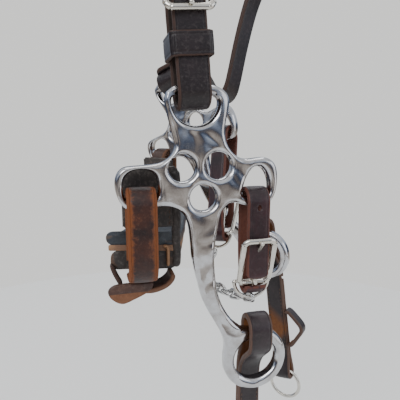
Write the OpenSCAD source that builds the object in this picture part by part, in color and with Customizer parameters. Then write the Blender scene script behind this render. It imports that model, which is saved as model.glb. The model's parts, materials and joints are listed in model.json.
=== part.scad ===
// Bitless mechanical hackamore: two lever cheeks, padded noseband, curb straps with a chain,
// the ends of both headstall cheekpieces and the two rein connectors.
// X runs from the noseband towards the curb, Y from the near cheek to the far cheek, Z is up.

/* [Cheeks] */
// Thickness of each cast cheek
cheek_t = 7; // [6:0.5:8]
// Radius of the three round holes in the hub
hub_hole_r = 6.8; // [6:0.1:7.2]
// Inner radius of the rein ring
rein_ring_r = 12; // [11:0.5:13]
// Width of the metal round the rein ring
rein_ring_w = 6.1; // [5:0.1:7]

/* [Far cheek] */
// Sideways turn of the far cheek about the vertical
far_yaw = -46; // [-50:1:-40]
// Lean of the far cheek in its own plane
far_lean = 19; // [16:1:22]
// Distance from the near cheek to the middle of the far cheek
far_gap = 106; // [104:1:112]
// Lean of the near cheekpiece in the plane of the near cheek
strap_lean = 4.5; // [0:0.5:6]

/* [Leather] */
// Width of the cheekpiece straps
cheekpiece_w = 15.9; // [14:0.1:16.5]
// Thickness of the cheekpiece straps
cheekpiece_t = 3.2; // [2.5:0.1:3.4]
// Width of the noseband straps
nose_w = 14.4; // [13:0.1:14.6]
// Width of the curb straps
curb_w = 12; // [10:0.1:12.6]
// Thickness of the curb straps
curb_t = 2.6; // [2:0.1:2.8]
// Width of the rein connectors
rein_w = 13; // [11:0.1:14]

/* [Metal fittings] */
// Diameter of the cheekpiece buckle wire
buckle_wire = 3.2; // [2.8:0.1:3.4]
// Diameter of the curb buckle wire
curb_wire = 2.8; // [2.4:0.1:3]
// Diameter of the chain wire
chain_wire = 1.8; // [1.5:0.1:2]
// Number of links in the curb chain
link_count = 11; // [8:1:11]

/* [Hidden] */

run_fit = 0.06;
strap_x = -4.2;
bar_z = 52.7;
// The part hangs from the middle hole in the top of the near cheekpiece.
hanger_z = 147;
hanger_y = 3.8;
hanger = [strap_x - (hanger_z - bar_z) * sin(strap_lean), hanger_y, bar_z + (hanger_z - bar_z) * cos(strap_lean)];
far_tilt = 3;
far_at = [21.5, far_gap, 21.4];

metal = [0.78, 0.79, 0.81];
nickel = [0.7, 0.7, 0.72];
dark_leather = [0.16, 0.12, 0.12];
tan_leather = [0.42, 0.26, 0.15];

// ---- curves ----
function arc(cx, cy, r, from, to, steps = 10) =
    [for (i = [0:steps]) let (a = from + (to - from) * i / steps) [cx + r * cos(a), cy + r * sin(a)]];

function spline_point(a, b, c, d, t) =
    0.5 * ((2 * b) + (c - a) * t + (2 * a - 5 * b + 4 * c - d) * t * t + (3 * b - a - 3 * c + d) * t * t * t);

// A closed curve through every point of a list.
function closed_curve(p, steps = 3) = let (n = len(p))
    [for (i = [0:n - 1], k = [0:steps - 1])
        spline_point(p[(i + n - 1) % n], p[i], p[(i + 1) % n], p[(i + 2) % n], k / steps)];

// An open curve through every point of a list, ends included.
function open_curve(p, steps = 4) = let (n = len(p))
    concat([for (i = [0:n - 2], k = [0:steps - 1])
        spline_point(p[max(i - 1, 0)], p[i], p[i + 1], p[min(i + 2, n - 1)], k / steps)], [p[n - 1]]);

function side_step(p, i) = let (n = len(p), d = p[min(i + 1, n - 1)] - p[max(i - 1, 0)])
    [-d[1], d[0]] / norm(d);

// The outline of a band of thickness t along an open path.
function band_outline(p, t) = let (n = len(p))
    concat([for (i = [0:n - 1]) p[i] + side_step(p, i) * t / 2],
           [for (i = [n - 1:-1:0]) p[i] - side_step(p, i) * t / 2]);

// ---- places ----
function turn_x(v, a) = [v[0], v[1] * cos(a) - v[2] * sin(a), v[1] * sin(a) + v[2] * cos(a)];
function turn_y(v, a) = [v[0] * cos(a) + v[2] * sin(a), v[1], v[2] * cos(a) - v[0] * sin(a)];
function turn_z(v, a) = [v[0] * cos(a) - v[1] * sin(a), v[0] * sin(a) + v[1] * cos(a), v[2]];
function far_point(x, z) = far_at + turn_z(turn_x(turn_y([x, 0, z], -far_lean), far_tilt), far_yaw);

module placed() {
    translate(-hanger) children();
}

module far_side() {
    translate(far_at) rotate([0, 0, far_yaw]) rotate([far_tilt, 0, 0]) rotate([0, -far_lean, 0])
        mirror([0, 1, 0]) children();
}

// A level frame turned with the far cheek, its +Y towards the near side.
module far_level(p) {
    translate(p) rotate([0, 0, far_yaw]) mirror([0, 1, 0]) children();
}

// A strap: a band along a path of [y, z] points, with its width along X.
module strap(path, w, t) {
    rotate([90, 0, 90]) linear_extrude(w, center = true) polygon(band_outline(path, t));
}

module rod(r, length) {
    rotate([0, 90, 0]) cylinder(r = r, h = length, center = true, $fn = 32);
}

// A hole bored along Y.
module bore(r, at, length) {
    translate(at) rotate([90, 0, 0]) cylinder(r = r, h = length, center = true, $fn = 32);
}

// ---- cheeks ----
ring_c = [30.8, -89.8];
ring_out = rein_ring_r + rein_ring_w;
band_mid = rein_ring_r + rein_ring_w / 2;

shank_right = open_curve([
    [-13, 54.6], [-6, 56.2], [2.5, 56], [7, 55.3], [10.5, 54], [13.2, 51.5], [14.3, 48.5], [14, 44.5],
    [12.9, 39.5], [12.3, 34.5], [12.7, 30.2], [14.2, 26.3], [16.8, 23], [20, 21], [24, 20.2], [29.5, 20.7],
    [33.5, 20.8], [37, 19.4], [39.4, 16.7], [40.5, 12.2], [40.4, 6.7], [39.3, 1.8], [37, -2.2], [33.5, -4.3],
    [29, -4.8], [24.5, -4], [21.5, -2.9], [18.3, -1.9], [15.2, -2.2], [12.7, -3.9], [10.9, -6.2], [9.9, -9.4],
    [9, -14.5], [7.8, -22], [7.2, -30.4], [7.5, -37], [8.2, -43.5], [9.4, -50], [11.7, -56.5], [15, -62.5],
    [18.7, -67.2], [23, -70.8]], 3);

shank_left = open_curve([
    [12.8, -86], [13.3, -81.5], [12.7, -76.3], [10.4, -70.7], [6.3, -63.2], [2.9, -56.8], [0.6, -51],
    [-1.4, -43.3], [-3.3, -35.5], [-4.5, -28.7], [-5.1, -21], [-6, -13.5], [-7.6, -8.4], [-10.2, -5.1],
    [-13.4, -3.2], [-17.3, -2.2], [-21.5, -2.4], [-26, -3.4], [-31, -4.1], [-35.5, -3.2], [-38.6, -0.6],
    [-40.6, 3.5], [-41.5, 8], [-41.2, 12.2], [-39.6, 15.4], [-37, 17.2], [-33, 17.7], [-28, 18], [-23, 18.4],
    [-19.4, 19.2], [-16.2, 20.9], [-13.8, 23.6], [-12.8, 27.2], [-13.5, 31.7], [-14.9, 37.2], [-16.3, 43],
    [-17.3, 48.4], [-16.3, 52.2]], 3);

cheek_edge = concat(shank_right, arc(ring_c[0], ring_c[1], ring_out, 95, -170, 40), shank_left);

// Upper hole for the cheekpiece: round below, flat on top.
top_eye = concat(arc(-2.8, 48, 11.5, -180, 0, 24), arc(5.9, 48, 2.8, 18, 90, 4), arc(-11.5, 48, 2.8, 90, 162, 4));
// Hole for the noseband strap.
front_eye = closed_curve([
    [-37.9, 8], [-36.9, 12.2], [-33.8, 15.1], [-29.3, 16], [-24.9, 15.2], [-22, 12.4], [-21.1, 8], [-21.4, 4],
    [-23.2, 1.9], [-27, 1.4], [-32, 1.4], [-35.8, 1.9], [-37.5, 4]], 3);
// Hole for the curb strap.
rear_eye = closed_curve([
    [22, 3.4], [22.7, 8], [24.6, 12.4], [27.4, 15.8], [30.6, 16.2], [33.6, 13.8], [35.6, 9.5], [36.1, 4.5],
    [34.8, 1.6], [31, 0.9], [26, 0.9], [23.2, 1.4]], 3);
hub_holes = [[-9.2, 16.3], [8.9, 17.1], [1.4, 1.3]];

module slab(outline, t) {
    rotate([90, 0, 0]) linear_extrude(t, center = true) polygon(outline);
}

module cheek() {
    color(metal) difference() {
        slab(cheek_edge, cheek_t);
        slab(top_eye, cheek_t + 2);
        slab(front_eye, cheek_t + 2);
        slab(rear_eye, cheek_t + 2);
        for (h = hub_holes)
            translate([h[0], 0, h[1]]) rotate([90, 0, 0])
                cylinder(r = hub_hole_r, h = cheek_t + 2, center = true, $fn = 64);
        translate([ring_c[0], 0, ring_c[1]]) rotate([90, 0, 0])
            cylinder(r = rein_ring_r, h = cheek_t + 2, center = true, $fn = 64);
    }
}

module near_cheek() placed() cheek();
module far_cheek() placed() far_side() cheek();

// ---- buckles ----
// A quarter turn of wire.
module bend(r, wire) {
    rotate_extrude(angle = 90, $fn = 48) translate([r, 0]) circle(d = wire, $fn = 24);
}

// A rectangular wire frame with its hinge bar at the origin and its free bar at +Z.
module buckle_frame(inner_w, inner_h, wire) {
    x = inner_w / 2 + wire / 2;
    corner = 3.2;
    color(nickel) union() {
        for (z = [0, inner_h + wire])
            translate([0, 0, z]) rod(wire / 2, 2 * (x - corner));
        for (s = [-1, 1]) {
            translate([s * x, 0, corner]) cylinder(r = wire / 2, h = inner_h + wire - 2 * corner, $fn = 32);
            translate([s * (x - corner), 0, corner])
                rotate([90, 0, 0]) rotate([0, 0, s > 0 ? -90 : 180]) bend(corner, wire);
            translate([s * (x - corner), 0, inner_h + wire - corner])
                rotate([90, 0, 0]) rotate([0, 0, s > 0 ? 0 : 90]) bend(corner, wire);
        }
    }
}

// A buckle tongue: a curl round the hinge bar at the origin and a pin with one bend in it.
module tongue(bar_d, pin_d, knee, tip) {
    color(nickel) difference() {
        union() {
            rod(bar_d / 2 + run_fit + 1, 3);
            strap([[0, 0], knee, tip], pin_d, pin_d);
        }
        rod(bar_d / 2 + run_fit, 8);
    }
}

// ---- near cheekpiece ----
loop_r = 5.8;
leg = loop_r + cheekpiece_t / 2;
hinge_z = 108;
hinge_y = -1.3;
free_z = 87;
free_y = -10.9;
buckle_tilt = atan2(hinge_y - free_y, hinge_z - free_z);
buckle_h = norm([hinge_y - free_y, hinge_z - free_z]) - buckle_wire;

near_cheekpiece_path = concat(
    [[-leg, 128], [-leg, 110], [-leg, 90], [-leg, 70]],
    arc(0, bar_z, leg, 180, 360, 18),
    open_curve([[leg, 70], [leg, 84], [leg - 1.2, 94], [4.6, 104], [hanger_y, 114], [hanger_y, 130],
        [hanger_y, 164]], 4));

// The leaning frame of the near cheekpiece, turned about the bar of the cheek.
module leaning() {
    placed() translate([strap_x, 0, bar_z]) rotate([0, -strap_lean, 0]) translate([0, 0, -bar_z]) children();
}

module near_cheekpiece() leaning() color(dark_leather) difference() {
    strap(near_cheekpiece_path, cheekpiece_w, cheekpiece_t);
    for (z = [-12, 0, 12])
        bore(2.2, [0, hanger_y, hanger_z + z], 3 * cheekpiece_t);
    // Slot in the billet for the tongue
    for (z = [92.4, 99])
        bore(2.1, [0, -leg, z], 2 * cheekpiece_t);
    translate([0, -leg, 95.7]) cube([4.2, 2 * cheekpiece_t, 6.6], center = true);
    // Trimmed corners of both ends
    for (s = [-1, 1]) {
        translate([s * cheekpiece_w / 2, hanger_y, 164]) rotate([0, 45, 0]) cube([7, 9, 7], center = true);
        translate([s * cheekpiece_w / 2, -leg, 128]) rotate([0, 45, 0]) cube([7, 6, 7], center = true);
    }
}

module near_buckle_place() {
    translate([0, hinge_y, hinge_z]) rotate([180 - buckle_tilt, 0, 0]) mirror([0, 1, 0]) children();
}

module near_cheek_buckle() leaning() near_buckle_place() buckle_frame(17.4, buckle_h, buckle_wire);
module near_cheek_tongue() leaning() translate([0, hinge_y, hinge_z])
    tongue(buckle_wire, 2.6, [-3, -10.2], [-12.8, -20]);

// Fold of thin leather that carries the hinge bar on the main strap.
module near_chape() leaning() color(dark_leather) difference() {
    r = buckle_wire / 2 + 0.9;
    strap(concat([[hinge_y - r, hinge_z + 16]], arc(hinge_y, hinge_z, r, 180, 360, 12),
        [[hinge_y + r, hinge_z + 16]]), cheekpiece_w, 1.4);
    translate([0, hinge_y, hinge_z - 1]) cube([4.6, 12, 9], center = true);
}

keeper_z = 72.5;
keeper_h = 11;
module ring_band(inner_x, inner_y, wall, h) {
    difference() {
        cube([inner_x + 2 * wall, inner_y + 2 * wall, h], center = true);
        cube([inner_x, inner_y, h + 2], center = true);
    }
}
module near_keeper() leaning() translate([0, 0, keeper_z]) color(dark_leather)
    ring_band(cheekpiece_w + 0.7, 2 * (loop_r + cheekpiece_t) + 0.7, 1.7, keeper_h);

// ---- far cheekpiece: a tight loop round the far top bar, then a slack bight between the cheeks ----
far_loop_r = 5.4;
far_cheekpiece_path = open_curve([
    [64, 6.6], [58, 10.4], [51, 14.7], [45, 17.6], [39, 19.8], [31, 18.2], [23, 13], [15, 6.4], [7, 1.4],
    [0.8, -0.8], [-2.6, 5], [-2, 16], [0.6, 36], [2.4, 60], [1.4, 80], [1.4, 100], [1.4, 118]], 4);
module bight() {
    placed() translate([36, 75, 56]) rotate([12, 14, 41]) children();
}
module far_cheekpiece() color(dark_leather) {
    difference() {
        bight() strap(far_cheekpiece_path, cheekpiece_w, cheekpiece_t);
        for (z = [84, 96, 108])
            bight() bore(2.2, [0, 1.4, z], 3 * cheekpiece_t);
        for (s = [-1, 1])
            bight() translate([s * cheekpiece_w / 2, 1.4, 118]) rotate([0, 45, 0]) cube([7, 9, 7], center = true);
    }
    placed() far_side() translate([-1, 0, bar_z]) difference() {
        rod(far_loop_r + cheekpiece_t, cheekpiece_w);
        rod(far_loop_r, cheekpiece_w + 2);
    }
}

// ---- noseband ----
nose_x = -29.5;
nose_bar_z = -1.3;
nose_r = 5.7;
nose_t = 3;
nose_leg = nose_r + nose_t / 2;
pad_y = 9.2;
far_pad_y = 10;
panel_t = 2.6;
pad_top = -16.5;
pad_w = 36.8;
pad_yaw = -15;
roll_t = 6.8;
liner_t = 3;
pad_t = 9.4;

near_nose_path = concat(
    [[nose_leg, -31], [nose_leg, -14]],
    arc(0, nose_bar_z, nose_leg, 0, 180, 18),
    open_curve([[-nose_leg - 0.4, -12], [-nose_leg - 0.8, -24], [-nose_leg + 0.4, -32], [-2, -38],
        [6, -39.6], [14, -41]], 4));
module near_nose_strap() placed() translate([nose_x, 0, 0]) color(tan_leather) strap(near_nose_path, nose_w, nose_t);

// The pad sags between the cheeks; both of its ends are cut flat against the side panels.
sag = open_curve([[-6, 3.6], [8, 0], [30, -5.4], [55, -7.6], [80, -4], [102, 5], [122, 16]], 4);
function layer_outline(p, top, low) = let (n = len(p))
    concat([for (i = [0:n - 1]) p[i] - side_step(p, i) * top],
           [for (i = [n - 1:-1:0]) p[i] - side_step(p, i) * low]);
module pad_layer(top, w, t) placed() difference() {
    translate([nose_x - 0.4, 0, pad_top]) rotate([0, 0, pad_yaw])
        rotate([90, 0, 90]) linear_extrude(w, center = true) polygon(layer_outline(sag, top, top + t));
    translate([nose_x - 60, pad_y - 60, -100]) cube([120, 60, 140]);
    far_level(far_nose) translate([-70, -60, -100]) cube([140, 60 + far_pad_y + panel_t, 140]);
}
module nose_roll() color(dark_leather) pad_layer(0, pad_w, roll_t);
module nose_liner() color(tan_leather) pad_layer(roll_t, pad_w - 2, liner_t);
module nose_pad() color(dark_leather) pad_layer(roll_t + liner_t, pad_w - 4, pad_t);

far_nose = far_point(nose_x - 1, nose_bar_z);
module near_nose_panel() placed() color(dark_leather) translate([-38, pad_y, pad_top + 1.8]) cube([27, panel_t, 31]);
module far_nose_panel() placed() color(dark_leather) far_level(far_nose) translate([-11, far_pad_y, -26]) cube([27, panel_t, 29]);
module far_nose_strap() placed() color(tan_leather) far_level(far_nose)
    strap(concat([[nose_leg + 1, -24]], arc(0, 0, nose_leg + 1, 0, 180, 18), [[-nose_leg - 1, -22]]), 12, nose_t);

// Loose end of the noseband strap below the pad: an edge that curls round to a pointed tip.
module near_nose_billet() placed() color(tan_leather) {
    translate([0, 11, 0]) slab(band_outline(open_curve([
        [-13, -39.6], [-13.8, -42.8], [-17.5, -46], [-24, -47.8], [-31, -47]], 5), 2.6), 13);
    translate([0, 5.8, 0]) slab(closed_curve([
        [-24, -43], [-30, -42.8], [-38, -42.6], [-44, -43.4], [-46.6, -46.4], [-44.6, -50.6], [-39.5, -53.4],
        [-33, -51.4], [-27, -48.6], [-24, -46]], 3), 2.6);
}
module near_nose_loop() placed() color(dark_leather) translate([-44, 7.2, -42.4]) cube([6, 4, 5.8]);

// ---- curb ----
curb_r = 5.4;
far_curb_r = 6.4;
pocket_r = 3.2;
near_drop = 43.5;
far_drop = 68;
curb_hinge_y = -1.7;
curb_window = 25;
dee_y = 1.9;
dee_w = 19.2;

// A curb strap: over the eye bar at the origin, billet in front, fold for the buckle and dee below.
module curb_strap(drop, r) {
    leg_y = r + curb_t / 2;
    fold = pocket_r + curb_t / 2;
    color(dark_leather) difference() {
        strap(concat([[-leg_y, 7 - drop]], arc(0, 0, leg_y, 180, 0, 18),
            open_curve([[leg_y, 18 - drop], [leg_y - 0.8, 8 - drop], [fold + 0.2, 1.5 - drop]], 3),
            arc(0, -drop, fold, -5, -168, 14)), curb_w, curb_t);
        for (z = [13.9, 20.2])
            bore(1.9, [0, -leg_y, z - drop], 8);
        translate([0, -leg_y, 17.05 - drop]) cube([3.8, 8, 6.3], center = true);
        bore(1.5, [0, -leg_y, -2], 8);
        translate([0, -fold, -drop]) cube([4.4, 6, 12], center = true);
    }
}
module near_curb() placed() translate([28.9, 0, -2]) children();
module far_curb() placed() far_level(far_point(28, -2)) rotate([0, -6, 0]) rotate([16, 0, 0]) children();

// A wire dee that hangs from its straight bar.
module dee(w, wire) {
    r = w / 2;
    color(nickel) union() {
        rod(wire / 2, w);
        for (s = [-1, 1]) translate([s * r, 0, 0]) sphere(d = wire, $fn = 24);
        rotate([90, 0, 0]) rotate([0, 0, 180]) rotate_extrude(angle = 180, $fn = 64)
            translate([r, 0]) circle(d = wire, $fn = 24);
    }
}
module curb_buckle(drop, r) {
    out = r + curb_t + curb_wire / 2 + 0.3 + curb_hinge_y;
    translate([0, curb_hinge_y, -drop]) rotate([atan2(out, curb_window), 0, 0])
        buckle_frame(13.6, norm([out, curb_window]) - curb_wire, curb_wire);
}
module curb_tongue(drop, r) {
    knee = 1.3 - r - curb_hinge_y;
    translate([0, curb_hinge_y, -drop]) tongue(curb_wire, 2.2, [knee, 15.7], [knee - 8.6, 24.3]);
}
module curb_dee(drop) translate([0, dee_y, -drop]) dee(dee_w, 2);

module near_curb_strap() near_curb() curb_strap(near_drop, curb_r);
module far_curb_strap() far_curb() curb_strap(far_drop, far_curb_r);
module near_curb_buckle() near_curb() curb_buckle(near_drop, curb_r);
module far_curb_buckle() far_curb() curb_buckle(far_drop, far_curb_r);
module near_curb_tongue() near_curb() curb_tongue(near_drop, curb_r);
module far_curb_tongue() far_curb() curb_tongue(far_drop, far_curb_r);
module near_curb_dee() near_curb() curb_dee(near_drop);
module far_curb_dee() far_curb() curb_dee(far_drop);

// ---- curb chain ----
link_in = 6.8;
link_w = 3;
pitch = 6.5;
dee_wire_at = [28.9, dee_y, -2 - near_drop - dee_w / 2];
chain_way = open_curve([dee_wire_at, [22.5, 22, -60], [16.6, 42, -59], [20.4, 58.4, -53], [28.7, 64.5, -46.6]], 24);

// Point of the chain at a distance along it.
function along(p, s, i = 0) = let (d = norm(p[i + 1] - p[i]))
    s <= d || i + 2 >= len(p) ? p[i] + (p[i + 1] - p[i]) * s / d : along(p, s - d, i + 1);

// A chain link round Z, flat in the XZ plane.
module link() {
    r = (link_w + chain_wire) / 2;
    run = link_in / 2 - link_w / 2;
    color(nickel) union() {
        for (s = [-1, 1]) {
            translate([s * r, 0, -run]) cylinder(d = chain_wire, h = 2 * run, $fn = 24);
            translate([0, 0, s * run]) rotate([90, 0, 0]) rotate([0, 0, s > 0 ? 0 : 180])
                rotate_extrude(angle = 180, $fn = 32) translate([r, 0]) circle(d = chain_wire, $fn = 24);
        }
    }
}
module curb_link(i) {
    s = 2.2 + pitch * (i - 1);
    at = along(chain_way, s);
    d = along(chain_way, s + 2) - along(chain_way, s - 2);
    placed() translate(at) rotate([0, 0, atan2(d[1], d[0])]) rotate([0, acos(d[2] / norm(d)), 0])
        rotate([0, 0, i % 2 == 0 ? 90 : 0]) link();
}

// ---- rein connectors ----
rein_t = 3;
rein_ring = 11;
rein_wire = 2.4;
// One strip: over the ring band at the origin, through the ring, down to a fold and back up behind itself.
rein_path = concat(
    open_curve([[13.3, -35.2], [13.3, -32], [12.9, -25], [11.2, -18], [8.6, -12.5], [6.9, -8], [6.7, -3]], 3),
    arc(0, 2.55, 6.7, 0, 180, 18),
    open_curve([[-6.7, -4.2], [-5, -8.5], [0, -13.5], [5, -18.5], [8.6, -25], [9.9, -33], [10, -42],
        [10, -60], [10, -88], [9.8, -96], [8.3, -103.6]], 3),
    arc(11.6, -109.2, 4.1, 180, 360, 14),
    open_curve([[14.9, -103.6], [13.4, -96], [13.3, -88], [13.3, -60], [13.3, -37.2]], 3));
module rein_strap() color(dark_leather) strap(rein_path, rein_w, rein_t);
module rein_end() color(nickel) translate([0, 11.6, -108.2 - rein_ring])
    rotate([90, 0, 0]) rotate_extrude($fn = 64) translate([rein_ring, 0]) circle(d = rein_wire, $fn = 24);

module near_rein() placed() translate([ring_c[0] + 1.2, 0, ring_c[1] + band_mid]) children();
module far_rein() placed()
    translate(far_point(ring_c[0] + band_mid * sin(far_lean), ring_c[1] + band_mid * cos(far_lean)))
        rotate([0, 0, far_yaw]) rotate([0, -8, 0]) translate([-1.5, 0, 0]) children();

module near_rein_strap() near_rein() rein_strap();
module near_rein_ring() near_rein() rein_end();
module far_rein_strap() far_rein() rein_strap();
module far_rein_ring() far_rein() rein_end();
// Leather loop sewn to the edge of the far connector.
module far_rein_loop() far_rein() color(dark_leather) translate([rein_w / 2, 11.6, 0]) difference() {
    slab([[0, -60], [3, -60], [12.5, -71], [12.5, -75.5], [3, -88], [0, -88]], 6);
    slab([[2, -63], [10.3, -71.8], [10.3, -74.8], [2, -85]], 8);
}

near_cheek();
far_cheek();
near_cheekpiece();
near_cheek_buckle();
near_cheek_tongue();
near_chape();
near_keeper();
far_cheekpiece();
nose_roll();
nose_liner();
nose_pad();
near_nose_panel();
far_nose_panel();
near_nose_strap();
near_nose_billet();
near_nose_loop();
far_nose_strap();
near_curb_strap();
near_curb_buckle();
near_curb_tongue();
near_curb_dee();
far_curb_strap();
far_curb_buckle();
far_curb_tongue();
far_curb_dee();
near_rein_strap();
near_rein_ring();
far_rein_strap();
far_rein_loop();
far_rein_ring();
for (i = [1:link_count])
    curb_link(i);
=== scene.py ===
import json
import math

import bmesh
import bpy
import numpy as np
from mathutils import Matrix, Vector, noise
from mathutils.geometry import tessellate_polygon


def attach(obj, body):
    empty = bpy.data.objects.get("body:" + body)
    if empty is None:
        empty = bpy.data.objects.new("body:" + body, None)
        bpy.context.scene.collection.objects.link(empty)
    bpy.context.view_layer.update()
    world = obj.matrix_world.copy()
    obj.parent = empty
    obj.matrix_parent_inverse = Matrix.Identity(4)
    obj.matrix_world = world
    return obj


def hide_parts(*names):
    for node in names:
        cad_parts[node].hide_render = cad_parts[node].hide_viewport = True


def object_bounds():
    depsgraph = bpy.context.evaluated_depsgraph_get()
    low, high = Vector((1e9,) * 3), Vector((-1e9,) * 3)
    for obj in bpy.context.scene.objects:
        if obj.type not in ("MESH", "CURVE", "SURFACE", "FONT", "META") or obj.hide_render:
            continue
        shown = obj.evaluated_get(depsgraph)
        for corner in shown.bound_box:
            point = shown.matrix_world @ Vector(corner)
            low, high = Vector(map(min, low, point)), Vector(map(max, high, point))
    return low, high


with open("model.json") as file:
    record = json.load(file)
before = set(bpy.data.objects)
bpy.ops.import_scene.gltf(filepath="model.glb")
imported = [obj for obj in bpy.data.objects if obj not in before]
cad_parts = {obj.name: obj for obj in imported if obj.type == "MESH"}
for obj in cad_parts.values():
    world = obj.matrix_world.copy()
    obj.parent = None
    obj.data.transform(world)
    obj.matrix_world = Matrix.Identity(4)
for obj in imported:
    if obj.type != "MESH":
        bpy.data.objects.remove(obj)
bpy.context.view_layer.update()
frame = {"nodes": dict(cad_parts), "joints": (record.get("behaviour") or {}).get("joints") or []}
scene = bpy.context.scene
joints = {j["name"]: j for j in frame["joints"]}
mm = 0.001
print("frame loaded:", len(frame["nodes"]), "parts")


# Places come from the joints of the frame, in mm and degrees. A cheek is drawn flat in its own plane, with X
# towards the curb and Z up from the middle of its three holes.
eyeX, eyeZ = -4.2, 52.7  # middle of a cheek's upper eye
farYaw, farLean, farTilt = -46, 19, 3  # how the far cheek hangs
strapLean = 4.5  # the near cheekpiece leans towards the noseband
hub = Vector(joints["near_lever"]["pos_m"]) - Vector((eyeX, 0, eyeZ)) * mm  # middle of the near cheek


def spin(x=0, y=0, z=0):
    return (
        Matrix.Rotation(math.radians(z), 4, "Z")
        @ Matrix.Rotation(math.radians(y), 4, "Y")
        @ Matrix.Rotation(math.radians(x), 4, "X")
    )


def shift(x=0, y=0, z=0):
    return Matrix.Translation(Vector((x, y, z)) * mm)


flipY = Matrix.Diagonal((1, -1, 1, 1))
nearFrame = Matrix.Translation(hub)
leaning = nearFrame @ shift(eyeX, 0, eyeZ) @ spin(y=-strapLean) @ shift(0, 0, -eyeZ)
farTurn = nearFrame @ shift(21.5, 106, 21.4) @ spin(z=farYaw) @ spin(x=farTilt) @ spin(y=-farLean)
farSide = farTurn @ flipY


def farLevel(point):
    return Matrix.Translation(point) @ spin(z=farYaw) @ flipY


def farPoint(x, z):
    return farTurn @ (Vector((x, 0, z)) * mm)


nearCurb = Matrix.Translation(Vector(joints["near_curb_hinge"]["pos_m"]))
farCurb = farLevel(Vector(joints["far_curb_hinge"]["pos_m"])) @ spin(y=-6) @ spin(x=16)
nearRein = Matrix.Translation(Vector(joints["near_rein_hinge"]["pos_m"]))
farRein = Matrix.Translation(Vector(joints["far_rein_hinge"]["pos_m"]))
farRein = farRein @ spin(z=farYaw) @ spin(y=-8) @ shift(-1.5)
farEye = farPoint(-30.5, -1.3)  # middle of the far cheek's front eye
noseFar = farLevel(farEye)
bight = nearFrame @ shift(36, 75, 56) @ spin(12, 14, 41)  # plane of the slack far strap


def hexColour(code):  # sRGB hex to linear
    parts = [int(code[i : i + 2], 16) / 255 for i in (1, 3, 5)]
    return tuple(c / 12.92 if c <= 0.04045 else ((c + 0.055) / 1.055) ** 2.4 for c in parts) + (1.0,)


def addNode(tree, kind, settings=None, values=None, links=None):
    node = tree.nodes.new(kind)
    for key, value in (settings or {}).items():
        setattr(node, key, value)
    for key, value in (values or {}).items():
        node.inputs[key].default_value = value
    for key, source in (links or {}).items():
        tree.links.new(source, node.inputs[key])
    return node


def newMaterial(name):
    made = bpy.data.materials.new(name)
    made.use_nodes = True
    tree = made.node_tree
    tree.nodes.clear()
    shader = addNode(tree, "ShaderNodeBsdfPrincipled")
    addNode(tree, "ShaderNodeOutputMaterial", links={"Surface": shader.outputs[0]})
    place = addNode(tree, "ShaderNodeTexCoord").outputs["Object"]
    return made, tree, shader, place


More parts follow.
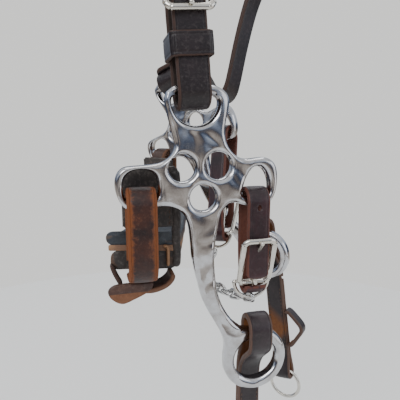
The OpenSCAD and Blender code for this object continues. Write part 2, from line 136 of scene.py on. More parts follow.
# Vegetable-tanned cowhide, curried and dyed on the grain side: fine pores, faint creases and a soft waxy
# sheen. Rubbed edges and the flesh side show the undyed hide, matt and fibrous. The mesh says where, in its
# point attributes edge and flesh.
def leatherMaterial(name, look):
    made, tree, shader, place = newMaterial(name)
    edge = addNode(tree, "ShaderNodeAttribute", {"attribute_name": "edge"}).outputs["Fac"]
    flesh = addNode(tree, "ShaderNodeAttribute", {"attribute_name": "flesh"}).outputs["Fac"]
    patches = addNode(tree, "ShaderNodeTexNoise", None,
                      {"Scale": 1 / (look["patchSize"] * mm), "Detail": 4, "Roughness": 0.6},
                      {"Vector": place})
    speckle = addNode(tree, "ShaderNodeTexNoise", None,
                      {"Scale": 1 / (look["speckleSize"] * mm), "Detail": 3, "Roughness": 0.65},
                      {"Vector": place})
    pores = addNode(tree, "ShaderNodeTexVoronoi", None,
                    {"Scale": 1 / (look["poreSize"] * mm)}, {"Vector": place})
    creases = addNode(tree, "ShaderNodeTexNoise", None,
                      {"Scale": 1 / (look["creaseSize"] * mm), "Detail": 2, "Roughness": 0.5,
                       "Distortion": 1.4}, {"Vector": place})
    spread = addNode(tree, "ShaderNodeMapRange", None,
                     {"From Min": 0.34, "From Max": 0.66}, {"Value": patches.outputs["Fac"]})
    grain = addNode(tree, "ShaderNodeMix", {"data_type": "RGBA"},
                    {6: hexColour(look["grain"]), 7: hexColour(look["patch"])}, {0: spread.outputs[0]})
    dusty = addNode(tree, "ShaderNodeMapRange", None,
                    {"From Min": 0.5, "From Max": 0.8, "To Max": look["dust"]},
                    {"Value": speckle.outputs["Fac"]})
    dusted = addNode(tree, "ShaderNodeMix", {"data_type": "RGBA"}, {7: hexColour(look["dustTone"])},
                     {0: dusty.outputs[0], 6: grain.outputs[2]})
    ragged = addNode(tree, "ShaderNodeMath", {"operation": "MULTIPLY_ADD"}, {1: 0.9},
                     {0: speckle.outputs["Fac"], 2: edge})
    patchy = addNode(tree, "ShaderNodeMath", {"operation": "MULTIPLY_ADD"}, {1: 0.7},
                     {0: patches.outputs["Fac"], 2: ragged.outputs[0]})
    rubbed = addNode(tree, "ShaderNodeMapRange", None,
                     {"From Min": 1.75 - look["wear"], "From Max": 2.2 - look["wear"]},
                     {"Value": patchy.outputs[0]})
    worn = addNode(tree, "ShaderNodeMix", {"data_type": "RGBA"}, {7: hexColour(look["worn"])},
                   {0: rubbed.outputs[0], 6: dusted.outputs[2]})
    fibres = addNode(tree, "ShaderNodeMix", {"data_type": "RGBA"},
                     {6: hexColour(look["flesh"]), 7: hexColour(look["fleshDark"])},
                     {0: speckle.outputs["Fac"]})
    back = addNode(tree, "ShaderNodeMapRange", None, {"From Min": 0.45, "From Max": 0.75}, {"Value": flesh})
    colour = addNode(tree, "ShaderNodeMix", {"data_type": "RGBA"}, None,
                     {0: back.outputs[0], 6: worn.outputs[2], 7: fibres.outputs[2]})
    tree.links.new(colour.outputs[2], shader.inputs["Base Color"])
    dull = addNode(tree, "ShaderNodeMath", {"operation": "MAXIMUM"}, None,
                   {0: rubbed.outputs[0], 1: back.outputs[0]})
    rough = addNode(tree, "ShaderNodeMapRange", None,
                    {"To Min": look["rough"], "To Max": 0.82}, {"Value": dull.outputs[0]})
    uneven = addNode(tree, "ShaderNodeMath", {"operation": "MULTIPLY_ADD"}, {1: 0.22, 2: -0.11},
                     {0: speckle.outputs["Fac"]})
    total = addNode(tree, "ShaderNodeMath", {"operation": "ADD"}, None,
                    {0: rough.outputs[0], 1: uneven.outputs[0]})
    tree.links.new(total.outputs[0], shader.inputs["Roughness"])
    fine = addNode(tree, "ShaderNodeBump", None, {"Strength": 0.35, "Distance": 0.12 * mm},
                   {"Height": pores.outputs["Distance"]})
    folds = addNode(tree, "ShaderNodeBump", None, {"Strength": 0.45, "Distance": 0.3 * mm},
                    {"Height": creases.outputs["Fac"], "Normal": fine.outputs[0]})
    nap = addNode(tree, "ShaderNodeBump", None, {"Strength": 0.3, "Distance": 0.25 * mm},
                  {"Height": speckle.outputs["Fac"], "Normal": folds.outputs[0]})
    tree.links.new(nap.outputs[0], shader.inputs["Normal"])
    shader.inputs["IOR"].default_value = 1.5
    shader.inputs["Coat Weight"].default_value = look["wax"]
    shader.inputs["Coat Roughness"].default_value = 0.35
    shader.inputs["Specular IOR Level"].default_value = 0.38
    return made


# A polished metal is seen by what it reflects: a near-white base, low roughness with a haze from handling,
# hair scratches and the long shallow waves that hand polishing leaves on a casting.
def metalMaterial(name, look):
    made, tree, shader, place = newMaterial(name)
    waves = addNode(tree, "ShaderNodeTexNoise", None,
                    {"Scale": 1 / (look["waveSize"] * mm), "Detail": 0.8, "Roughness": 0.4,
                     "Distortion": 0.6}, {"Vector": place})
    haze = addNode(tree, "ShaderNodeTexNoise", None,
                   {"Scale": 1 / (look["hazeSize"] * mm), "Detail": 5, "Roughness": 0.65}, {"Vector": place})
    stretch = addNode(tree, "ShaderNodeMapping", None, {"Rotation": (0.2, 0.35, 0.1), "Scale": (1, 1, 0.12)},
                      {"Vector": place})
    scratches = addNode(tree, "ShaderNodeTexNoise", None,
                        {"Scale": 1 / (look["scratchSize"] * mm), "Detail": 3, "Roughness": 0.7},
                        {"Vector": stretch.outputs[0]})
    tone = addNode(tree, "ShaderNodeMapRange", None,
                   {"From Min": 0.38, "From Max": 0.7, "To Max": look["tarnish"]},
                   {"Value": haze.outputs["Fac"]})
    colour = addNode(tree, "ShaderNodeMix", {"data_type": "RGBA"},
                     {6: hexColour(look["bright"]), 7: hexColour(look["dim"])}, {0: tone.outputs[0]})
    tree.links.new(colour.outputs[2], shader.inputs["Base Color"])
    rough = addNode(tree, "ShaderNodeMapRange", None,
                    {"From Min": 0.35, "From Max": 0.7, "To Min": look["roughLow"],
                     "To Max": look["roughHigh"]},
                    {"Value": haze.outputs["Fac"]})
    tree.links.new(rough.outputs[0], shader.inputs["Roughness"])
    swell = addNode(tree, "ShaderNodeBump", None,
                    {"Strength": look["waveStrength"], "Distance": look["waveDepth"] * mm},
                    {"Height": waves.outputs["Fac"]})
    hair = addNode(tree, "ShaderNodeBump", None, {"Strength": 0.06, "Distance": 0.05 * mm},
                   {"Height": scratches.outputs["Fac"], "Normal": swell.outputs[0]})
    tree.links.new(hair.outputs[0], shader.inputs["Normal"])
    shader.inputs["Metallic"].default_value = 1
    return made


def threadMaterial(name, look):
    made, tree, shader, place = newMaterial(name)
    strands = addNode(tree, "ShaderNodeTexNoise", None,
                      {"Scale": 1 / (look["strandSize"] * mm), "Detail": 2}, {"Vector": place})
    bump = addNode(tree, "ShaderNodeBump", None, {"Strength": 0.4, "Distance": 0.1 * mm},
                   {"Height": strands.outputs["Fac"]})
    tree.links.new(bump.outputs[0], shader.inputs["Normal"])
    # The darker tone is painted shade between the strands.
    tint = addNode(tree, "ShaderNodeMix", {"data_type": "RGBA"},
                   {6: hexColour(look["tone"]), 7: hexColour(look["paintedShade"])}, {0: strands.outputs["Fac"]})
    tree.links.new(tint.outputs[2], shader.inputs["Base Color"])
    shader.inputs["Roughness"].default_value = 0.6
    return made


# Sizes are in mm. Pores lie 0.9 mm apart and speckle 1.6 mm, coarser than the real 0.2 mm, so that they show.
leatherBase = {
    "grain": "#2b1d1f", "patch": "#40302e", "dustTone": "#6d6563", "dust": 0.25, "worn": "#5a4032",
    "flesh": "#6b4a36", "fleshDark": "#3e2a20", "wear": 0.5, "rough": 0.46, "wax": 0.05,
    "patchSize": 14, "poreSize": 0.9, "speckleSize": 1.6, "creaseSize": 3.2,
}
# Haze and scratches are also drawn coarser than real, at 7 mm and 0.5 mm.
metalBase = {"hazeSize": 7, "scratchSize": 0.5}

# Bridle butt, curried with tallow and dyed: nearly black, almost matt, with brown only at rubbed corners.
bridleLeather = leatherMaterial("bridle leather, nearly black", {
    **leatherBase, "grain": "#130c0f", "patch": "#241a1d", "worn": "#3f2c25", "flesh": "#32261f",
    "fleshDark": "#1e1613", "wear": 0.42, "wax": 0.12, "rough": 0.42})
# Strap leather dyed oxblood and waxed more than the rest: a red cast in the dark, a clearer highlight.
curbLeather = leatherMaterial("curb strap leather, oxblood brown", {
    **leatherBase, "grain": "#1d0d13", "patch": "#35181f", "worn": "#5a3126", "flesh": "#6a3a2a",
    "fleshDark": "#3c1f18", "wear": 0.45, "dust": 0.12, "wax": 0.2, "rough": 0.4})
# Rein leather, dyed on one side only: dark brown grain over an orange-brown flesh side.
reinLeather = leatherMaterial("rein leather, dark brown", {
    **leatherBase, "grain": "#1a1215", "patch": "#2e2327", "worn": "#564036", "flesh": "#8a5428",
    "fleshDark": "#4a2a16", "dust": 0.15, "wear": 0.45, "wax": 0.16, "rough": 0.42})
# The same strap leather after years of rubbing: the dye is left in the middle, the borders are bare tan hide.
noseLeather = leatherMaterial("noseband strap leather, rubbed to tan", {
    **leatherBase, "grain": "#1b1011", "patch": "#3c1e15", "worn": "#74401f", "flesh": "#8a5a38",
    "wear": 0.82, "dust": 0.22, "dustTone": "#6d564c", "patchSize": 9})
# Soft lining hide, stiff with sweat and dust: grey, dry and without sheen.
panelLeather = leatherMaterial("noseband lining leather, greyed", {
    **leatherBase, "grain": "#2e2a29", "patch": "#423c39", "worn": "#5e4a3e", "dust": 0.45,
    "dustTone": "#807a75", "rough": 0.55, "wax": 0.05})
# Black dyed chap leather pulled tight round the roll: a blue-black skin with a faint bloom.
rollLeather = leatherMaterial("rolled noseband leather, blue-black", {
    **leatherBase, "grain": "#1c2026", "patch": "#2e343c", "worn": "#5e4f45", "dust": 0.3,
    "dustTone": "#68707a", "rough": 0.42, "wax": 0.12, "wear": 0.3})
# Undyed hide seen on its cut side: pale tan, open fibres, no wax at all.
linerLeather = leatherMaterial("raw hide edge", {
    **leatherBase, "grain": "#6e5242", "patch": "#8a6a53", "worn": "#a07a5c", "flesh": "#8d6d55",
    "rough": 0.7, "wax": 0.0})
# Strap leather whose dye has faded in the sun: mid brown, dusty in the pores.
billetLeather = leatherMaterial("billet leather, faded brown", {
    **leatherBase, "grain": "#32221f", "patch": "#4a332b", "worn": "#6a4a38", "flesh": "#84593f",
    "fleshDark": "#5a3a28", "dust": 0.3, "wear": 0.45})
# The wall of a punched hole, where dye has never reached: red-brown and matt.
cutLeather = leatherMaterial("freshly cut leather inside the holes", {
    **leatherBase, "grain": "#4c2114", "patch": "#63301d", "worn": "#6e3a24", "rough": 0.7, "wax": 0.0})
# Investment-cast stainless steel, polished on a wheel: broad soft waves that bend every reflection.
castSteel = metalMaterial("cast stainless steel, hand polished", {
    **metalBase, "bright": "#c6c7cb", "dim": "#958c84", "tarnish": 0.6, "roughLow": 0.1, "roughHigh": 0.24,
    "waveSize": 15, "waveDepth": 2.6, "waveStrength": 0.85})
# Drawn wire with a nickel plate: a warm white, even shine with hardly any waves.
nickelPlate = metalMaterial("nickel plated wire, polished", {
    **metalBase, "bright": "#d8d4cc", "dim": "#a39d92", "tarnish": 0.4, "roughLow": 0.14, "roughHigh": 0.28,
    "waveSize": 6, "waveDepth": 0.2, "waveStrength": 0.15})
# Steel wire, tumbled bright after twisting: slightly duller than the plate, grey in the hollows.
chainSteel = metalMaterial("bright twisted steel wire", {
    **metalBase, "bright": "#d0d0cf", "dim": "#8e8a84", "tarnish": 0.5, "roughLow": 0.16, "roughHigh": 0.32,
    "waveSize": 4, "waveDepth": 0.15, "waveStrength": 0.15})
# Linen thread drawn through beeswax: slightly shiny strands, with painted shade between them.
darkThread = threadMaterial("waxed linen thread, brown",
                            {"tone": "#6a5140", "paintedShade": "#2b211c", "strandSize": 0.3})
print("materials made")


# A Catmull-Rom curve through the points, with even steps along it.
def smoothPath(points, spacing=0.7, closed=False):
    p = np.array(points, float)
    n = len(p)
    out = []
    for i in range(n if closed else n - 1):
        a, b, c, d = (p[k % n] if closed else p[min(max(k, 0), n - 1)] for k in (i - 1, i, i + 1, i + 2))
        steps = max(2, int(np.linalg.norm(c - b) / 0.25))
        t = np.arange(steps)[:, None] / steps
        bend = (2 * a - 5 * b + 4 * c - d) * t**2
        out.append(0.5 * (2 * b + (c - a) * t + bend + (3 * b - a - 3 * c + d) * t**3))
    dense = np.vstack(out + [p[:1] if closed else p[-1:]])
    run = np.concatenate([[0], np.cumsum(np.linalg.norm(np.diff(dense, axis=0), axis=1))])
    count = max(3, int(round(run[-1] / spacing)))
    s = np.linspace(0, run[-1], count + 1)
    even = np.stack([np.interp(s, run, dense[:, k]) for k in range(dense.shape[1])], 1)
    return even[:-1] if closed else even


def arcPoints(cx, cy, r, start, end, steps=14):
    a = np.radians(np.linspace(start, end, steps + 1))
    return [(cx + r * math.cos(x), cy + r * math.sin(x)) for x in a]


def newPiece(name, verts, faces, matrix, extras=None):
    mesh = bpy.data.meshes.new(name)
    mesh.from_pydata([tuple(v) for v in np.array(verts) * mm], [], faces)
    mesh.transform(matrix)
    for key, values in (extras or {}).items():
        layer = mesh.attributes.new(key, "FLOAT", "POINT")
        layer.data.foreach_set("value", np.array(values, np.float32))
    closeUp(mesh)
    piece = bpy.data.objects.new(name, mesh)
    scene.collection.objects.link(piece)
    return piece


def closeUp(mesh):
    work = bmesh.new()
    work.from_mesh(mesh)
    bmesh.ops.remove_doubles(work, verts=work.verts, dist=1e-7)
    bmesh.ops.recalc_face_normals(work, faces=work.faces)
    for face in work.faces:
        face.smooth = True
    work.to_mesh(mesh)
    work.free()


crease = {"inset": 1.8, "width": 0.3, "rows": (1.35, 1.65, 1.95, 2.25, 2.9)}  # pressed along a strap's edges


# A strap cut across, as (across, up, edge, flesh). Edge and flesh run from 0 to 1 for the leather materials.
def bandSection(width, thick, groove, crown, reach):
    r, half = thick * 0.46, width / 2
    inner = [half - r - 0.001] + [half - row for row in crease["rows"]]
    xs = [-x for x in inner] + list(np.linspace(-half + 3.6, half - 3.6, 7)) + inner[::-1]
    section = []

    def nearRim(x):
        return math.exp(-(((half - abs(x)) / reach) ** 2))

    def corner(side, angles):
        for a in angles:
            x = half - r + r * math.cos(math.radians(a))
            y = (thick / 2 - r + 0.001) * (1 if a > 0 else -1) + r * math.sin(math.radians(a))
            section.append((side * x, y, 1, 0.5 if a < 0 else 0.15))

    for x in xs:  # grain side
        dip = groove * math.exp(-(((abs(x) - (half - crease["inset"])) / crease["width"]) ** 2))
        lift = crown * (1 - (x / half) ** 2)
        section.append((x, thick / 2 + lift - dip, nearRim(x), 0))
    corner(1, (72, 45, 18, -18, -45, -72))
    for x in np.linspace(half - r, -half + r, 8):  # flesh side
        section.append((x, -thick / 2, nearRim(x), 1))
    corner(-1, (-72, -45, -18, 18, 45, 72))
    return np.array(section)


# Groove and crown are the crease's depth and the rise of the middle, reach how far rubbing goes in from an
# edge, point and blunt the length over which the last and the first end narrow, wobble how far the line
# strays.
bandLook = {"groove": 0.14, "crown": 0.12, "reach": 1.3, "point": None, "blunt": None, "wobble": 0.12,
            "flip": False, "closed": False}


# A strip of leather along a path of 3-D points, its width along the side vectors.
def leatherBand(name, centres, sides, width, thick, matrix, look=None):
    look = {**bandLook, **(look or {})}
    centres = np.array(centres, float)
    count = len(centres)
    sides = np.array(sides, float)
    if sides.ndim == 1:
        sides = np.tile(sides, (count, 1))
    if look["closed"]:
        tangents = np.roll(centres, -1, 0) - np.roll(centres, 1, 0)
    else:
        tangents = np.gradient(centres, axis=0)
    tangents /= np.linalg.norm(tangents, axis=1)[:, None]
    sides = sides - tangents * np.sum(sides * tangents, 1)[:, None]
    sides /= np.linalg.norm(sides, axis=1)[:, None]
    normals = np.cross(sides, tangents) * (-1 if look["flip"] else 1)
    run = np.concatenate([[0], np.cumsum(np.linalg.norm(np.diff(centres, axis=0), axis=1))])
    section = bandSection(width, thick, look["groove"], look["crown"], look["reach"])
    verts, edge, flesh = [], [], []
    for i in range(count):
        left = run[-1] - run[i]
        wide = 1.0
        if look["point"]:  # the far end narrows to a rounded point
            k = min(1, left / look["point"])
            wide = 0.16 + 0.84 * math.sin(k * math.pi / 2) ** 0.75
        if look["blunt"]:
            k = min(1, run[i] / look["blunt"])
            wide = 0.3 + 0.7 * math.sin(k * math.pi / 2) ** 0.6
        near, thin, endWear = min(run[i], left), 1.0, 0
        if not look["closed"]:  # both ends are skived thin and rubbed
            thin = 0.45 + 0.55 * math.sin(min(1, near / (thick * 0.5)) * math.pi / 2)
            endWear = math.exp(-((near / look["reach"]) ** 2))
        drift = look["wobble"] * noise.noise(Vector((run[i] * 0.07, width, len(name) * 1.7)))
        for x, h, e, f in section:
            verts.append(centres[i] + sides[i] * (x * wide + drift) + normals[i] * (h * thin))
            edge.append(max(e, endWear))
            flesh.append(f)
    m = len(section)
    faces = []
    for i in range(count if look["closed"] else count - 1):
        for j in range(m):
            a, b = i * m + j, i * m + (j + 1) % m
            c, d = ((i + 1) % count) * m + (j + 1) % m, ((i + 1) % count) * m + j
            faces.append((a, b, c, d))
    if not look["closed"]:
        faces.append(tuple(range(m)))
        faces.append(tuple(range((count - 1) * m, count * m))[::-1])
    return newPiece(name, verts, faces, matrix, {"edge": edge, "flesh": flesh})


def flatBand(name, path, width, thick, matrix, look=None, spacing=0.7):
    even = smoothPath(path, spacing, closed=bool(look and look.get("closed")))
    centres = [(0, y, z) for y, z in even]
    return leatherBand(name, centres, (1, 0, 0), width, thick, matrix, look)


# Round wire along 3-D points; the radius may change along it and the section may be flattened.
def wirePiece(name, points, radius, matrix, closed=False, flat=1.0):
    around = 20
    p = np.array(points, float)
    count = len(p)
    radii = np.full(count, radius, float) if np.isscalar(radius) else np.array(radius, float)
    if closed:
        tangents = np.roll(p, -1, 0) - np.roll(p, 1, 0)
    else:
        tangents = np.gradient(p, axis=0)
    tangents /= np.linalg.norm(tangents, axis=1)[:, None]
    normal = np.cross(tangents[0], (0.31, 0.9, 0.22))
    if closed:
        spread = np.linalg.svd(p - p.mean(0))[2][2]
        normal = spread - tangents[0] * spread.dot(tangents[0])
    normal /= np.linalg.norm(normal)
    verts, rings = [], []
    for i in range(count):
        normal = normal - tangents[i] * normal.dot(tangents[i])
        normal /= np.linalg.norm(normal)
        other = np.cross(tangents[i], normal)
        rings.append((p[i], normal.copy(), other, tangents[i], radii[i]))

    def dome(ring, way, angles):
        centre, n1, n2, t, r = ring
        return [(centre + way * t * r * math.sin(a), n1, n2, t, r * math.cos(a)) for a in angles]

    if not closed:
        head, end = dome(rings[0], -1, (1.35, 1.0, 0.6, 0.25)), dome(rings[-1], 1, (0.25, 0.6, 1.0, 1.35))
        rings = head + rings + end
    for centre, n1, n2, _, r in rings:
        for k in range(around):
            a = 2 * math.pi * k / around
            verts.append(centre + n1 * (r * flat * math.cos(a)) + n2 * (r * math.sin(a)))
    total = len(rings)
    faces = []
    for i in range(total if closed else total - 1):
        row, above = i * around, (i + 1) % total * around
        for k in range(around):
            n = (k + 1) % around
            faces.append((row + k, row + n, above + n, above + k))
    if not closed:
        faces.append(tuple(range(around)))
        faces.append(tuple(range((total - 1) * around, total * around))[::-1])
    return newPiece(name, verts, faces, matrix)


def evaluatedMesh(piece):
    bpy.context.view_layer.update()
    return bpy.data.meshes.new_from_object(piece.evaluated_get(bpy.context.evaluated_depsgraph_get()))


def keepResult(piece):  # what the modifiers make becomes the piece's own mesh
    made = evaluatedMesh(piece)
    piece.modifiers.clear()
    piece.data = made
    made.name = piece.name
    return made


# A flat plate from closed outlines in its own plane. Its rim is rounded as far as the metal beside it allows,
# so that narrow bars come out nearly round and broad parts keep a flat face.
def platePiece(name, loops, thick, rounding, matrix):
    loops = [np.array(loop, float) for loop in loops]
    every = np.vstack(loops)
    areas = [0.5 * np.sum(p[:, 0] * np.roll(p[:, 1], -1) - np.roll(p[:, 0], -1) * p[:, 1]) for p in loops]
    outer = int(np.argmax(np.abs(areas)))
    steps = 7
    verts, faces, rims = [], [], []
    for number, p in enumerate(loops):
        if (areas[number] > 0) != (number == outer):
            p = p[::-1]
        count = len(p)
        tangent = np.roll(p, -2, 0) - np.roll(p, 2, 0)
        tangent /= np.linalg.norm(tangent, axis=1)[:, None]
        inward = np.stack([-tangent[:, 1], tangent[:, 0]], 1)
        gap = every[None, :, :] - p[:, None, :]
        toward = np.sum(gap * inward[:, None, :], 2)
        reach = np.where(toward > 0.02, np.sum(gap**2, 2) / (2 * np.maximum(toward, 0.02)), 99).min(1)
        depth = np.minimum(rounding, 0.88 * reach)
        for _ in range(6):
            depth = np.minimum(depth, (np.roll(depth, 1) + depth + np.roll(depth, -1)) / 3)
        first = len(verts)
        rings = []
        for side in (1, -1):
            for k in range(steps + 1):
                a = math.pi / 2 * k / steps
                if side == -1:
                    a = math.pi / 2 - a
                flat = p + inward * (depth * (1 - math.cos(a)))[:, None]
                high = side * (thick / 2 - rounding + rounding * math.sin(a))
                rings.append([(x, high, z) for x, z in flat])
        order = rings[:steps + 1][::-1] + rings[steps + 1:][::-1]
        for ring in order:
            verts += ring
        total = len(order)
        for i in range(total - 1):
            for k in range(count):
                n = (k + 1) % count
                row, above = first + i * count, first + (i + 1) * count
                faces.append((row + k, row + n, above + n, above + k))
        rims.append((first, first + (total - 1) * count, count))
    for which in (0, 1):
        names = [rim[which] + k for rim in rims for k in range(rim[2])]
        flat = [[Vector((verts[at + k][0], verts[at + k][2], 0)) for k in range(count)]
                for at, count in [(rim[which], rim[2]) for rim in rims]]
        faces += [tuple(names[i] for i in tri) for tri in tessellate_polygon(flat)]
    piece = newPiece(name, verts, faces, matrix)
    even = piece.modifiers.new("flat faces stay flat", "WEIGHTED_NORMAL")
    even.weight = 100
    return piece


def finishPiece(piece, body, nodes, material):
    piece.data.materials.clear()
    piece.data.materials.append(material)
    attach(piece, body)
    if nodes:
        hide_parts(*nodes)


# Punched holes and slots, cut through a strap with round or oval pins.
def punch(piece, cuts, inside):
    pins = []
    for matrix, rx, rz, deep in cuts:
        work = bmesh.new()
        bmesh.ops.create_cone(work, cap_ends=True, segments=28, radius1=1, radius2=1, depth=1)
        mesh = bpy.data.meshes.new("pin")
        for v in work.verts:
            v.co = Vector((v.co.x * rx, v.co.z * deep, v.co.y * rz)) * mm
        bmesh.ops.recalc_face_normals(work, faces=work.faces)
        work.to_mesh(mesh)
        work.free()
        mesh.transform(matrix)
        mesh.materials.append(inside)
        pin = bpy.data.objects.new("pin", mesh)
        scene.collection.objects.link(pin)
        cut = piece.modifiers.new("hole", "BOOLEAN")
        cut.operation, cut.solver, cut.object = "DIFFERENCE", "EXACT", pin
        pins.append(pin)
    made = keepResult(piece)
    for pin in pins:
        bpy.data.objects.remove(pin)
    for face in made.polygons:
        face.use_smooth = True
    closeUp(made)


# A row of stitches along a line: one flattened ball for each, turned along the thread.
def stitchTree():
    tree = bpy.data.node_groups.new("stitch row", "GeometryNodeTree")
    tree.interface.new_socket("Line", in_out="INPUT", socket_type="NodeSocketGeometry")
    for label in ("Spacing", "Stitch length", "Thread radius"):
        tree.interface.new_socket(label, in_out="INPUT", socket_type="NodeSocketFloat")
    tree.interface.new_socket("Thread", in_out="INPUT", socket_type="NodeSocketMaterial")
    tree.interface.new_socket("Stitches", in_out="OUTPUT", socket_type="NodeSocketGeometry")
    given = addNode(tree, "NodeGroupInput").outputs
    line = addNode(tree, "GeometryNodeMeshToCurve", None, None, {0: given["Line"]})
    even = addNode(tree, "GeometryNodeResampleCurve", {"mode": "LENGTH"}, None,
                   {"Curve": line.outputs[0], "Length": given["Spacing"]})
    ball = addNode(tree, "GeometryNodeMeshUVSphere", None, {"Segments": 8, "Rings": 6, "Radius": 1.0})
    size = addNode(tree, "ShaderNodeCombineXYZ", None, None,
                   {0: given["Thread radius"], 1: given["Thread radius"], 2: given["Stitch length"]})
    shaped = addNode(tree, "GeometryNodeTransform", None, None,
                     {"Geometry": ball.outputs[0], "Scale": size.outputs[0]})
    along = addNode(tree, "GeometryNodeInputTangent")
    turned = addNode(tree, "FunctionNodeAlignRotationToVector", {"axis": "Z"}, None,
                     {"Vector": along.outputs[0]})
    put = addNode(tree, "GeometryNodeInstanceOnPoints", None, None,
                  {"Points": even.outputs[0], "Instance": shaped.outputs[0], "Rotation": turned.outputs[0]})
    real = addNode(tree, "GeometryNodeRealizeInstances", None, None, {0: put.outputs[0]})
    smooth = addNode(tree, "GeometryNodeSetShadeSmooth", None, None, {0: real.outputs[0]})
    painted = addNode(tree, "GeometryNodeSetMaterial", None, None,
                      {"Geometry": smooth.outputs[0], "Material": given["Thread"]})
    addNode(tree, "NodeGroupOutput", None, None, {0: painted.outputs[0]})
    return tree


stitches = stitchTree()


def runTree(name, tree, inputs, lines=()):
    mesh = bpy.data.meshes.new(name)
    verts, edges = [], []
    for line in lines:
        start = len(verts)
        verts += [tuple(v) for v in line]
        edges += [(start + i, start + i + 1) for i in range(len(line) - 1)]
    mesh.from_pydata(verts, edges, [])
    holder = bpy.data.objects.new(name + "Seed", mesh)
    scene.collection.objects.link(holder)
    modifier = holder.modifiers.new(name, "NODES")
    modifier.node_group = tree
    sockets = {s.name: s.identifier for s in tree.interface.items_tree
               if s.item_type == "SOCKET" and s.in_out == "INPUT"}
    for label, value in inputs.items():
        modifier[sockets[label]] = value
    made = evaluatedMesh(holder)
    bpy.data.objects.remove(holder)
    made.name = name
    piece = bpy.data.objects.new(name, made)
    scene.collection.objects.link(piece)
    return piece


# The half length and half thickness of a stitch, larger than life so that they show.
threadSize = {"spacing": 2.6, "length": 0.85, "radius": 0.32}


def sew(name, lines, matrix, body):
    world = [[matrix @ (Vector(p) * mm) for p in smoothPath(line, 0.5)] for line in lines]
    piece = runTree(name, stitches, {
        "Spacing": threadSize["spacing"] * mm, "Stitch length": threadSize["length"] * mm,
        "Thread radius": threadSize["radius"] * mm, "Thread": darkThread}, world)
    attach(piece, body)


# The two cheeks are cast steel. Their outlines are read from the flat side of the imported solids.
cheek = {"rounding": 2.6, "thick": 7.0, "step": 0.9}


def outlineLoops(node, matrix):
    back = matrix.inverted()
    work = bmesh.new()
    work.from_mesh(frame["nodes"][node].data)
    bmesh.ops.transform(work, matrix=back, verts=work.verts)
    bmesh.ops.remove_doubles(work, verts=work.verts, dist=2e-6)
    top = max(v.co.y for v in work.verts)
    cap = {f for f in work.faces if all(abs(v.co.y - top) < 2e-5 for v in f.verts)}
    rim = [e for e in work.edges if sum(f in cap for f in e.link_faces) == 1]
    links = {}
    for e in rim:
        for v in e.verts:
            links.setdefault(v, []).append(e)
    loops, used = [], set()
    for e in rim:
        if e in used:
            continue
        start = v = e.verts[0]
        loop = []
        while True:
            used.add(e)
            loop.append((v.co.x / mm, v.co.z / mm))
            v = e.other_vert(v)
            if v is start:
                break
            e = next(x for x in links[v] if x not in used)
        loops.append(loop)
    work.free()
    return loops


def cheekPiece(name, node, matrix):
    loops = [smoothPath(loop, cheek["step"], closed=True) for loop in outlineLoops(node, matrix)]
    return platePiece(name, loops, cheek["thick"], cheek["rounding"], matrix)


for name, node, matrix in (("nearCheek", "near_cheek", nearFrame), ("farCheek", "far_cheek", farSide)):
    finishPiece(cheekPiece(name, node, matrix), node, [node], castSteel)
print("cheeks made")


# Near cheekpiece: the strap round the upper eye, its buckle and tongue, the fold that carries them, a keeper.
cheekpiece = {
    "width": 15.9, "thick": 3.2, "loop": 5.8, "front": 3.8, "holeRadius": 2.2, "holes": (135, 147, 159),
    "bar": (-1.3, 108), "tip": (-10.9, 87), "buckleWide": 17.4, "wire": 3.2, "pin": 2.4,
    "foldRadius": 2.5, "foldThick": 1.4, "foldTall": 16, "keeperAt": 72.5, "keeperTall": 11,
    "keeperThick": 1.7,
}
leg = cheekpiece["loop"] + cheekpiece["thick"] / 2
front = cheekpiece["front"]
strapPath = (
    [(-leg, z) for z in (128, 118, 110, 100, 90, 80, 70, 61)]
    + arcPoints(0, eyeZ, leg, 180, 360, 16)
    + [(leg, 61), (leg, 70), (leg, 84), (leg - 1.2, 94), (4.6, 104)]
    + [(front, z) for z in (114, 130, 147, 164)]
)
strap = flatBand("nearCheekpiece", strapPath, cheekpiece["width"], cheekpiece["thick"], leaning,
                 {"reach": 1.0, "flip": True, "point": 9, "blunt": 9})
holeR = cheekpiece["holeRadius"]
cuts = [(leaning @ shift(0, front, z), holeR, holeR, 12) for z in cheekpiece["holes"]]
cuts.append((leaning @ shift(0, -leg, 95.7), 2.1, 5.3, 9))  # slot for the tongue
punch(strap, cuts, cutLeather)
finishPiece(strap, "headstall", ["near_cheekpiece"], bridleLeather)


def buckleFrame(name, innerWide, innerTall, wire, bow, matrix):
    x, top, r = innerWide / 2 + wire / 2, innerTall + wire, 3.2
    flat = []
    for cx, cz, start in ((x - r, top - r, 0), (-x + r, top - r, 90), (-x + r, r, 180), (x - r, r, 270)):
        flat += arcPoints(cx, cz, r, start, start + 90, 8)
    path = []
    for px, pz in flat:  # the far bar is bowed
        rise = max(0, (pz - top * 0.6) / (top * 0.4)) ** 2
        path.append((px, -bow * rise * (1 - (px / x) ** 2), pz))
    even = smoothPath(path, 0.6, closed=True)
    return wirePiece(name, even, wire / 2 + 0.15, matrix, closed=True, flat=0.84)


# A tongue curls round its bar, runs straight to the knee and on to its tip.
def tonguePiece(name, bar, pin, knee, tip, matrix):
    r = bar / 2 + 0.06 + pin * 0.42
    curl = arcPoints(0, 0, r, -100, 180, 18) if knee[1] > 0 else arcPoints(0, 0, r, -280, -150, 18)

    def middle(a, b):
        return ((a[0] + b[0]) / 2, (a[1] + b[1]) / 2)

    path = curl + [middle(curl[-1], knee), knee, middle(knee, tip), tip]
    even = smoothPath([(0, y, z) for y, z in path], 0.5)
    count = len(even)
    radii = [pin / 2 * (1 - 0.1 * (i / count) ** 2) for i in range(count)]
    return wirePiece(name, even, radii, matrix, flat=1.1)


